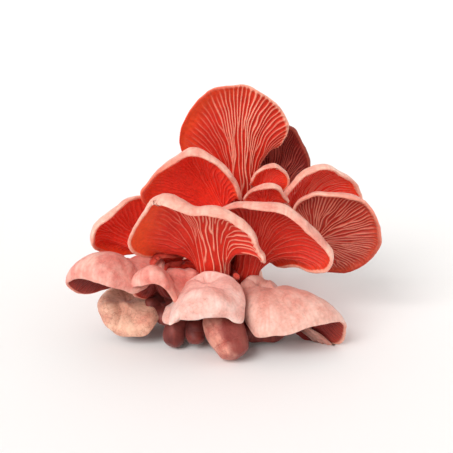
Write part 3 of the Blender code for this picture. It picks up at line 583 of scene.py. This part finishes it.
def mushroom_rows(shroom, seed):
    """The skin's rows of points, its two end points, and masks that say what each place is.

    ridge: how high a gill stands; streak: noise; side: 0 on the smooth side, 1 below; way: 0 at the
    middle, 1 at the margin; down: 0 at the hub, 1 at the foot; bare: the margin past the gills;
    glow: light that comes through it; dark_tone_and_shade: the dark side of a finger, partly its own
    tone and partly painted shade.
    """
    gills, turn = fan(shroom)
    hub, foot = np.asarray(shroom.hub, float), np.asarray(shroom.foot, float)
    reach = np.linalg.norm(np.asarray(shroom.rim, float) - hub, axis=1).max()
    top_count, under_count = (max(LEAST_CAP_ROWS, round(reach / step)) for step in (TOP_STEP, UNDER_STEP))
    stem_count = max(LEAST_STEM_ROWS, round(np.linalg.norm(hub - foot) / STEM_STEP))
    top_shares = np.arange(1, top_count + 1) / top_count
    under_shares = 1 - np.arange(under_count + 1) / under_count
    stem_shares = np.arange(1, stem_count + 1) / stem_count
    top, middle = top_side(shroom, top_shares, turn)
    under, _ = cap_sheet(shroom, under_shares, turn)
    lip = lip_rows(top[-1], under[0], top[-2])
    stem, tip = stem_rings(shroom, stem_shares, turn)
    rows = bent(np.concatenate([top, lip, under, stem]), seed)
    middle, tip = bent(middle[None], seed)[0], bent(tip[None], seed)[0]
    out = normals_of(rows)

    gap = np.linalg.norm(np.roll(rows, -1, axis=1) - np.roll(rows, 1, axis=1), axis=-1)
    pitch = gap / 2 * COLUMNS_PER_GILL
    first = top_count + LIP_ROWS
    low = first + under_count + 1
    ridge = np.zeros(rows.shape[:2])
    ridge[first:low] = gill_ridges(shroom, gills, under_shares, turn, pitch[first:low], seed)
    sunk = ease(stem_shares / GILLS_GONE)[:, None]
    ridge[low:] = gill_ridges(shroom, gills, 0 * stem_shares, turn, pitch[low:], seed, sunk)

    over_top = top_shares[:, None]
    swelling = ease((over_top - PUFF_START) / PUFF_RUN) * (1 - ease((over_top - PUFF_END) / PUFF_FADE))
    move = np.zeros(rows.shape[:2])
    move[:top_count] = PUFF * swelling
    for layer, (height, size) in enumerate(TOP_LUMPS):
        move[:first] += height * lumps(rows[:first], size, seed + 40 + layer)
    relief = around(shroom.relief, turn)
    move[first:low] = ridge[first:low] * GILL_DEPTH * (LEAST_DEPTH + (1 - LEAST_DEPTH) * relief)
    move[low:] = ridge[low:] * GILL_DEPTH * STEM_GILL_DEPTH
    rows = rows + out * move[..., None]

    lip_shares = np.arange(1, LIP_ROWS + 1) / (LIP_ROWS + 1)
    side = np.concatenate([np.zeros(top_count), lip_shares, np.ones(under_count + 1 + stem_count)])
    way = np.concatenate([top_shares, np.ones(LIP_ROWS), under_shares, np.zeros(stem_count)])
    down = np.concatenate([np.zeros(low), stem_shares])
    bare = np.zeros(rows.shape[:2])
    ends = folds(shroom, turn) - around(shroom.bare, turn)
    stray, patch = BARE_PATCHES
    past = under_shares[:, None] - ends[None] + stray * lumps(rows[first:low], patch, seed + 90)
    bare[first:low] = ease(past / (BARE_BLEND * BARE_FADE) + BARE_EARLY)
    across = gills * shroom.gill / (2 * math.pi)
    circle = np.arange(rows.shape[1]) / rows.shape[1] * 2 * math.pi
    masks = {
        "ridge": ridge * relief,
        "streak": streaks(circle, across, way * reach * STREAK_SQUEEZE[0], seed),
        "side": side[:, None],
        "way": way[:, None],
        "dark_tone_and_shade": 0,
        "glow": np.clip(around(shroom.glow, turn), 0, 1)[None],
        "down": down[:, None],
        "bare": bare,
    }
    return rows, middle, tip, masks


def smooth_line(knots, values, at):
    """A natural-looking curve through the values, read at one place."""
    slopes = np.gradient(values, knots)
    k = int(np.clip(np.searchsorted(knots, at) - 1, 0, len(knots) - 2))
    span = knots[k + 1] - knots[k]
    x = (at - knots[k]) / span
    return (
        (2 * x**3 - 3 * x**2 + 1) * values[k]
        + (x**3 - 2 * x**2 + x) * span * slopes[k]
        + (3 * x**2 - 2 * x**3) * values[k + 1]
        + (x**3 - x**2) * span * slopes[k + 1]
    )


def finger_rows(finger, seed):
    """As mushroom_rows, for a young club. All of it is smooth side."""
    turn = np.arange(FINGER_COLUMNS) * 2 * math.pi / FINGER_COLUMNS
    path = np.asarray(finger.path, float)
    knots = np.linspace(0, 1, len(path))
    radii = np.asarray(finger.radii, float)

    def place(share):
        return np.array([smooth_line(knots, path[:, axis], share) for axis in range(3)])

    shares = (np.arange(1, FINGER_ROWS + 1) / FINGER_ROWS) ** TIP_CROWDING
    rows = []
    for share in shares:
        along = unit(place(min(share + 0.02, 1)) - place(max(share - 0.02, 0)))
        up = unit(np.array([0, 0, 1]) - along * along[2])
        roundness = math.sqrt(1 - (1 - min(share / TIP_SHARE, 1)) ** 2)
        radius = smooth_line(knots, radii, share) * roundness
        rows.append(place(share) + radius * ring(turn, up * finger.flat, np.cross(up, along)))
    rows = np.array(rows)
    tip, end = place(0), place(1) + along * radius * FOOT_POINT
    rows = bent(rows, seed)
    tip, end = bent(tip[None], seed)[0], bent(end[None], seed)[0]
    out = normals_of(rows)
    move = sum(h * lumps(rows, size, seed + 40 + layer) for layer, (h, size) in enumerate(TOP_LUMPS))
    rows = rows + out * move[..., None]
    length = np.linalg.norm(path[0] - path[-1])
    height, size = DARK_SIDE_LUMPS
    # The fingers' dark side, towards the upper right: partly their own darker tone, partly painted shade from
    # the caps above.
    dark_tone_and_shade = ease(DARK_SIDE_START + DARK_SIDE_SLOPE * out @ DARK_AND_SHADED_WAY + height * lumps(rows, size, seed + 80))
    masks = {
        "ridge": 0,
        "streak": streaks(turn, radii.mean(), shares * length * STREAK_SQUEEZE[1], seed),
        "side": 0,
        "way": (1 - shares)[:, None],
        "dark_tone_and_shade": dark_tone_and_shade * finger.dark_tone_and_shade,
        "down": shares[:, None],
        "bare": 0,
        "glow": 0,
    }
    return rows, tip, end, masks


def skin_mesh(name, rows, start, end, masks):
    """A closed mesh over rows of points between two end points, with its masks and a flat map of it.

    The map runs round the skin, column by column, and down it from the start to the end point.
    """
    count, columns = rows.shape[:2]
    points = np.concatenate([start[None], rows.reshape(-1, 3), end[None]])
    points[:, 2] = np.maximum(points[:, 2], 0)
    column = np.arange(columns)
    after = (column + 1) % columns
    row = np.arange(count - 1)[:, None] * columns + 1
    strips = np.stack([row + column, row + columns + column, row + columns + after, row + after], axis=-1)
    last = len(points) - 1
    low = (count - 1) * columns + 1
    caps = [(0, 1 + c, 1 + a) for c, a in zip(column, after)]
    feet = [(last, low + a, low + c) for c, a in zip(column, after)]
    mesh = bpy.data.meshes.new(name)
    faces = caps + strips.reshape(-1, 4).tolist() + feet
    mesh.from_pydata(((points - MIDDLE) * MM).tolist(), [], faces)

    steps = np.linalg.norm(np.diff(rows, axis=0), axis=-1).mean(axis=1)
    height = np.concatenate([[0.5], 0.5 + np.cumsum(steps)])
    height = height / (height[-1] + 0.5)
    left, right = column / columns, (column + 1) / columns
    middle = (left + right) / 2
    ends, first, final = (np.full(columns, value) for value in (0.0, height[0], height[-1]))
    cap_map = np.stack([middle, ends, left, first, right, first], axis=1)
    foot_map = np.stack([middle, ends + 1, right, final, left, final], axis=1)
    high, deep, lefts, rights = np.broadcast_arrays(height[:-1, None], height[1:, None], left, right)
    strip_map = np.stack([lefts, high, lefts, deep, rights, deep, rights, high], axis=-1)
    layer = mesh.uv_layers.new(name="OFBake", do_init=False)
    layer.uv.foreach_set("vector", np.concatenate([cap_map.ravel(), strip_map.ravel(), foot_map.ravel()]))
    for key, mask in masks.items():
        mask = np.broadcast_to(mask, rows.shape[:2])
        values = np.concatenate([[mask[0].mean()], mask.ravel(), [mask[-1].mean()]])
        mesh.attributes.new(key, "FLOAT", "POINT").data.foreach_set("value", values.astype(np.float32))
    mesh.shade_smooth()
    return mesh


def linear(hexes):
    """An sRGB hex colour as linear red, green, blue and alpha."""
    parts = [int(hexes[k : k + 2], 16) / 255 for k in (1, 3, 5)]
    return (*(p / 12.92 if p <= 0.04045 else ((p + 0.055) / 1.055) ** 2.4 for p in parts), 1)


def add(tree, kind, inputs=None, **settings):
    """A node of this kind, with its settings and with each input set to a value or linked to a socket."""
    made = tree.nodes.new("ShaderNode" + kind)
    for key, value in settings.items():
        setattr(made, key, value)
    for key, value in (inputs or {}).items():
        if isinstance(value, bpy.types.NodeSocket):
            tree.links.new(value, made.inputs[key])
        else:
            made.inputs[key].default_value = value
    return made


def times(tree, first, second):
    return add(tree, "Math", {0: first, 1: second}, operation="MULTIPLY").outputs[0]


def times_plus(tree, first, second, third):
    return add(tree, "Math", {0: first, 1: second, 2: third}, operation="MULTIPLY_ADD").outputs[0]


def between(tree, value, start, end, low=0.0, high=1.0):
    """From low to high as the value goes from start to end."""
    ends = {"From Min": start, "From Max": end, "To Min": low, "To Max": high}
    return add(tree, "MapRange", {"Value": value, **ends}).outputs[0]


def mix(tree, share, first, second):
    """The first colour, with this share of the second in it."""
    first, second = (linear(part) if isinstance(part, str) else part for part in (first, second))
    return add(tree, "Mix", {0: share, 6: first, 7: second}, data_type="RGBA").outputs[2]


def noise(tree, place, across, detail=2.0, output="Fac"):
    """Noise with patches this many mm across."""
    inputs = {"Vector": place, "Scale": 1 / (across * MM), "Detail": detail}
    return add(tree, "TexNoise", inputs).outputs[output]


@dataclass
class Flesh:
    """The colours of one sort of mushroom flesh, as sRGB hex."""

    valley: str  # between the gills
    ridge: str  # the gills' crests
    bare: str  # the thin margin past the gills, where light comes through
    edge: str  # the rolled edge
    top: str  # the smooth side
    blush: str  # blotches and streaks on the smooth side
    crack: str  # fine cracks in it
    foot: str  # the stem towards the base; on the fingers also their dark side: partly own tone, partly painted shade
    roughness: float = 0.5
    cracked: float = 0.5  # how strongly the cracks show


FLESHES = {
    "bright": Flesh("#D02610", "#FAAE94", "#F2561F", "#F6B89E", "#F3BFAB", "#E69482", "#C46A5C", "#EE9A88"),
    # Brighter reds for the caps whose gill sides face down and get little lamp light: partly their own vivid
    # tone, partly painted light.
    "vivid_lit": Flesh("#F2341E", "#FBA088", "#FF5C2C", "#F8BCA2", "#F3BFAB", "#E69482", "#C46A5C", "#F09080"),
    "soft": Flesh("#CC2816", "#EA8870", "#E84C26", "#F6B89E", "#F1BAA7", "#E28C7C", "#C46A5C", "#E88A7C"),
    "rusty": Flesh("#A82818", "#E29078", "#D8583A", "#F0A88C", "#F3BCA8", "#E69482", "#BC6458", "#C86A60"),
    "flush": Flesh("#E03420", "#EE8A72", "#F0583A", "#F08C70", "#DE5A48", "#C03A2C", "#942A20", "#C85044"),
    # A darker copy for the shaded back cap: partly its own darker tone, partly painted shade.
    "deep": Flesh("#7A1712", "#C05E50", "#8E241C", "#A8503F", "#A04238", "#6E2420", "#4A1412", "#6A1E1A"),
    # The low caps' gill sides (pale, warm, rosy, weathered) face down into the cluster and are dark reds:
    # partly the gills' own red, partly painted shade.
    "pale": Flesh("#8A2018", "#A8483C", "#D85A34", "#EC8258", "#F1D0C5", "#E4A99B", "#B9685C", "#DE948A"),
    "warm": Flesh("#8A2018", "#A8483C", "#C84830", "#EFAA92", "#E6BBAC", "#D89484", "#B4665A", "#D88A7E"),
    "rosy": Flesh("#7A1C14", "#943A30", "#B83A2A", "#EE9A84", "#EFB9A9", "#D9766A", "#A8504A", "#CC7468"),
    "weathered": Flesh("#7A1C14", "#A84A3E", "#C03C2A", "#E0A88C", "#ECBDA2", "#D08C76", "#A05848", "#C07A68",
                       roughness=0.6, cracked=0.9),
    "finger": Flesh("#7A1C14", "#A84A3E", "#C03C2A", "#E09A84", "#DC9C88", "#B45A4C", "#8A3028", "#7E241E",
                    cracked=0.8),
    # A darkened copy for the pieces in the gaps low in the cluster: painted shade.
    "shaded_dark": Flesh("#641812", "#8A3028", "#8A2A20", "#8E3C32", "#8A3A30", "#5E1E1A", "#421210", "#561814"),
    "cut": Flesh("#B8685C", "#E0A090", "#E0A090", "#F0CFC2", "#F2CBB9", "#E2A896", "#B98478", "#F3DDD2",
                 roughness=0.75),
}


# The flesh's surface, in mm.
BLOTCHES, SPECKS, DOWN = 8, 1.3, 0.35  # how far across its patches are
CRACK_CELL, CRACK_SWAY = 2.4, 1.6  # the cells between the cracks, and the noise that bends them
CRACK_WIDTH = 0.07  # as a share of a cell
BUMP = 0.25  # mm from the deepest to the highest
GLOW_DEPTH = 1.2  # mm, how far light goes in
GLOW_SHARES = (1.0, 0.35, 0.25)  # how far red, green and blue go, as shares of it


def flesh_material(name, flesh):
    """Raw mushroom flesh. It is damp and waxy, so it shines softly, and light goes a mm or so into it.

    The eye sees a pale top with rosy blotches, streaks and fine cracks, and a deep red gill side with
    salmon crests that pales to a thin edge, with small specks and a fine down that break up the shine.
    """
    material = bpy.data.materials.new(name)
    material.use_nodes = True
    tree = material.node_tree
    shader = tree.nodes["Principled BSDF"]
    ridge, side, way, down, bare, streak, dark_tone_and_shade, glow = (
        add(tree, "Attribute", attribute_name=key).outputs["Fac"]
        for key in ("ridge", "side", "way", "down", "bare", "streak", "dark_tone_and_shade", "glow")
    )
    place = add(tree, "TexCoord").outputs["Object"]
    blotch = noise(tree, place, BLOTCHES, 5.0)
    speck = noise(tree, place, SPECKS, 3.0)
    down_fuzz = noise(tree, place, DOWN)

    # Cracks: the edges of cells bent by noise, only where the blotches are strong.
    sway = noise(tree, place, CRACK_SWAY, 3.0, "Color")
    sizes = (CRACK_CELL * MM,) * 3
    swayed = add(tree, "VectorMath", {0: sway, 1: sizes, 2: place}, operation="MULTIPLY_ADD").outputs[0]
    cells = add(
        tree, "TexVoronoi", {"Vector": swayed, "Scale": 1 / (CRACK_CELL * MM)}, feature="DISTANCE_TO_EDGE"
    ).outputs["Distance"]
    spread = 0.62 - 0.3 * flesh.cracked
    patchy = between(tree, blotch, spread, spread + 0.14)
    cracks = times(tree, between(tree, cells, 0.0, CRACK_WIDTH, 1.0, 0.0), patchy)

    # The smooth side: blotches, streaks, a rosier middle, cracks, light through its margin, and on the
    # fingers a dark side that is partly their own tone and partly painted shade.
    top = mix(tree, between(tree, blotch, 0.4, 0.68), flesh.top, flesh.blush)
    top = mix(tree, between(tree, streak, 0.3, 1.0, high=0.6), top, flesh.blush)
    top = mix(tree, between(tree, way, 0.1, 0.75, 0.55, 0.0), top, flesh.blush)
    top = mix(tree, times(tree, cracks, 0.6 * flesh.cracked), top, flesh.crack)
    top = mix(tree, times(tree, between(tree, way, 0.84, 0.96), glow), top, flesh.bare)
    # Painted shade, partly the fingers' own darker tone: their dark side takes the foot colour.
    top = mix(tree, times(tree, dark_tone_and_shade, 0.85), top, flesh.foot)

    # The gill side: crests, the bare margin, the stem, and the rolled edge where no light comes through.
    under = mix(tree, between(tree, ridge, 0.35, 0.9), flesh.valley, flesh.ridge)
    under = mix(tree, times(tree, bare, 0.85), under, flesh.bare)
    under = mix(tree, between(tree, down, 0.25, 1.0, high=0.8), under, flesh.foot)
    rolled = times(tree, between(tree, way, 0.975, 1.0, high=0.8), times_plus(tree, glow, -1.0, 1.0))
    under = mix(tree, rolled, under, flesh.edge)

    skin = mix(tree, between(tree, side, 0.35, 0.95), top, under)
    shade = between(tree, speck, 0.25, 0.75, 0.86, 1.1)
    skin = add(tree, "VectorMath", {0: skin, "Scale": shade}, operation="SCALE").outputs[0]
    tree.links.new(skin, shader.inputs["Base Color"])
    wet = between(tree, speck, 0.0, 1.0, flesh.roughness - 0.12, flesh.roughness + 0.14)
    tree.links.new(wet, shader.inputs["Roughness"])
    relief = times_plus(tree, cracks, -0.5, times_plus(tree, down_fuzz, 0.35, speck))
    bump = add(tree, "Bump", {"Height": relief, "Strength": 0.5, "Distance": BUMP * MM})
    tree.links.new(bump.outputs["Normal"], shader.inputs["Normal"])
    shader.inputs["IOR"].default_value = 1.38
    shader.inputs["Subsurface Weight"].default_value = 0.2
    shader.inputs["Subsurface Radius"].default_value = GLOW_SHARES
    shader.inputs["Subsurface Scale"].default_value = GLOW_DEPTH * MM
    shader.inputs["Sheen Weight"].default_value = 0.08
    return material


# The lump of grown-together stem feet, cut flat below.
BASE_CENTRE = (-8, 14)  # mm, in plan
BASE_RADIUS = (25, 27)  # mm, half width and half depth
BASE_HEIGHT = 40  # mm
BASE_SQUARENESS = 0.7  # 1 is a half ball, less is squarer
BASE_LUMPS = ((3, 0.05, 0.4), (5, 0.035, 1.9))  # count round the base, share of its radius, phase
BASE_ROUGH = ((0.9, 7), (0.5, 3), (0.2, 1.2))  # height and size of its lumps, mm
BASE_SEED = 60
BASE_EDGE = 4  # mm above the cut face where its lumps have sunk in
BASE_COLUMNS, BASE_ROWS, FACE_ROWS = 360, 110, 24


def base_rows(seed):
    """The skin of the grown-together feet: its sides run down to a flat cut face."""
    turn = np.arange(BASE_COLUMNS) * 2 * math.pi / BASE_COLUMNS
    waves = sum(share * np.sin(count * turn + phase) for count, share, phase in BASE_LUMPS)
    round_about = np.stack([np.cos(turn), np.sin(turn)], axis=1)
    rows = []
    for step in range(1, BASE_ROWS + 1):
        slope = step / BASE_ROWS * math.pi / 2
        wide = math.sin(slope) ** BASE_SQUARENESS
        reach = (1 + waves * math.sin(slope) ** 2)[:, None] * wide
        plan = round_about * BASE_RADIUS * reach + BASE_CENTRE
        height = BASE_HEIGHT * max(math.cos(slope), 0) ** BASE_SQUARENESS
        rows.append(np.column_stack([plan, np.full(BASE_COLUMNS, height)]))
    rows = np.array(rows)
    out = normals_of(rows)
    loose = ease(rows[..., 2] / BASE_EDGE)
    move = sum(high * lumps(rows, size, seed + layer) for layer, (high, size) in enumerate(BASE_ROUGH))
    rows = rows + out * (move * loose)[..., None]
    rim, middle = rows[-1], np.array([*BASE_CENTRE, 0.0])
    face = np.array([middle + (rim - middle) * (1 - k / FACE_ROWS) for k in range(1, FACE_ROWS)])
    rows = np.concatenate([rows, face])
    masks = dict.fromkeys(("ridge", "side", "down", "bare", "glow", "dark_tone_and_shade"), 0)
    masks["way"] = 0.5
    masks["streak"] = 0.5 + 0.5 * lumps(rows * (1, 1, 0.15), 1.0, seed + 9)
    return rows, np.array([*BASE_CENTRE, float(BASE_HEIGHT)]), middle, masks


def add_skin(node, skin, made, materials):
    """The piece that stands for a CAD node."""
    piece = bpy.data.objects.new(node + "_skin", skin_mesh(node + "_skin", *made))
    piece.data.materials.append(materials[skin])
    bpy.context.scene.collection.objects.link(piece)
    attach(piece, "root")
    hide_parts(node)


# The studio.
TARGET = Vector((-0.95, -2.06, 48)) * MM  # what the camera looks at
CAMERA_RAISE = math.radians(18)
CAMERA_AWAY = 0.424  # m
VIEW_WIDTH = 0.218  # m, how wide the view is at the target
LAMPS = (  # where the light comes from, its strength, the angle it fills (degrees)
    ((-0.5, -0.75, 0.62), 2.6, 35),
    ((0.8, -0.4, 0.5), 0.35, 60),
)
SKY = 0.6  # strength of the even light from all round
FLOOR_FLAT, FLOOR_RISE = 2.2, 1.6  # m, where the floor starts to bend up, and how far it does
FLOOR_MIDDLE = 0.05  # m, the radius of its innermost ring
FLOOR_BELOW = 0.1  # mm under the cut face
FLOOR_SIDES, FLOOR_BENDS = 96, 16


def add_studio():
    """A pale floor, soft lamps from the upper left and a camera in front, a little above."""
    away = Vector((0, -math.cos(CAMERA_RAISE), math.sin(CAMERA_RAISE)))
    camera = bpy.data.cameras.new("camera")
    camera.lens = camera.sensor_width * CAMERA_AWAY / VIEW_WIDTH
    camera.clip_start = 0.01
    stand = bpy.data.objects.new("camera", camera)
    stand.location = TARGET + away * CAMERA_AWAY
    stand.rotation_euler = (-away).to_track_quat("-Z", "Y").to_euler()
    bpy.context.scene.collection.objects.link(stand)
    bpy.context.scene.camera = stand
    for source, strength, spread in LAMPS:
        lamp = bpy.data.lights.new("lamp", "SUN")
        lamp.energy, lamp.angle = strength, math.radians(spread)
        holder = bpy.data.objects.new("lamp", lamp)
        holder.rotation_euler = (-Vector(source)).to_track_quat("-Z", "Y").to_euler()
        bpy.context.scene.collection.objects.link(holder)
    world = bpy.data.worlds.new("studio")
    world.use_nodes = True
    light = world.node_tree.nodes["Background"]
    light.inputs["Color"].default_value = (1, 1, 1, 1)
    light.inputs["Strength"].default_value = SKY
    bpy.context.scene.world = world
    floor_mesh = bpy.data.meshes.new("floor")
    turn = np.arange(FLOOR_SIDES) * 2 * math.pi / FLOOR_SIDES
    bends = np.linspace(0, math.pi / 2, FLOOR_BENDS)
    reach = np.concatenate([[FLOOR_MIDDLE], FLOOR_FLAT + FLOOR_RISE * np.sin(bends)])
    height = np.concatenate([[0], FLOOR_RISE * (1 - np.cos(bends))]) - FLOOR_BELOW * MM
    points = [(r * math.cos(a), r * math.sin(a), z) for r, z in zip(reach, height) for a in turn]
    faces = [tuple(range(FLOOR_SIDES))]
    for low in range(0, (len(reach) - 1) * FLOOR_SIDES, FLOOR_SIDES):
        for c in range(FLOOR_SIDES):
            after, high = (c + 1) % FLOOR_SIDES, low + FLOOR_SIDES
            faces.append((low + c, high + c, high + after, low + after))
    floor_mesh.from_pydata(points, [], faces)
    floor_mesh.shade_smooth()
    floor = bpy.data.objects.new("floor", floor_mesh)
    # Matt white paper: it gives an even, soft ground without shine.
    paper = bpy.data.materials.new("matt_white_paper")
    paper.use_nodes = True
    paper_shader = paper.node_tree.nodes["Principled BSDF"]
    paper_shader.inputs["Base Color"].default_value = linear("#F6F4F2")
    paper_shader.inputs["Roughness"].default_value = 0.9
    floor_mesh.materials.append(paper)
    bpy.context.scene.collection.objects.link(floor)
    bpy.context.scene.view_settings.view_transform = "Standard"


def build():
    """Every piece of the cluster, and the studio round it."""
    materials = {key: flesh_material(key + "_flesh", flesh) for key, flesh in FLESHES.items()}
    for seed, member in enumerate(CLUSTER, start=1):
        rows = finger_rows if isinstance(member, Finger) else mushroom_rows
        add_skin(member.name, member.skin, rows(member, seed), materials)
    add_skin("cut_base", "cut", base_rows(BASE_SEED), materials)
    add_studio()


build()
